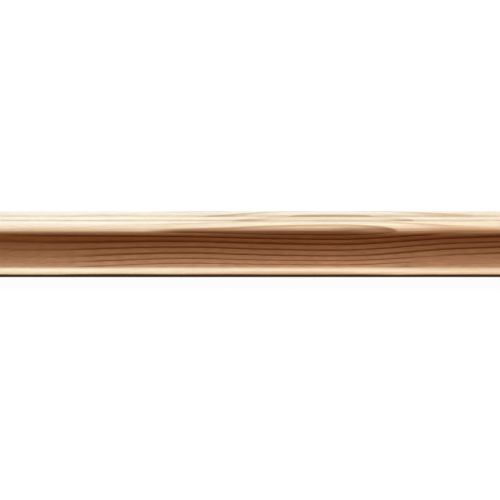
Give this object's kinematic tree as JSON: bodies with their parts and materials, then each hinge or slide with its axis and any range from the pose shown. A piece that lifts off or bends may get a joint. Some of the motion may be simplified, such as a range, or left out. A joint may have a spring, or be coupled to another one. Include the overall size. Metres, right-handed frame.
{
  "type": "dado rail",
  "caption": "Straight length of moulded pine dado rail with a flat back, reeded top, round nose, long hollow and a bead along the bottom edge.",
  "frame": {"origin": "middle of the flat back, halfway along the length and halfway across the width", "axes": "+X along the length, +Y across the width to the edge that is uppermost on a wall, +Z out of the moulded face"},
  "size_m": [2.4, 0.045, 0.02],
  "materials": {
    "pine": "planed bare pine"
  },
  "bodies": {
    "root": {"dado_rail": "pine"}
  },
  "joints": []
}
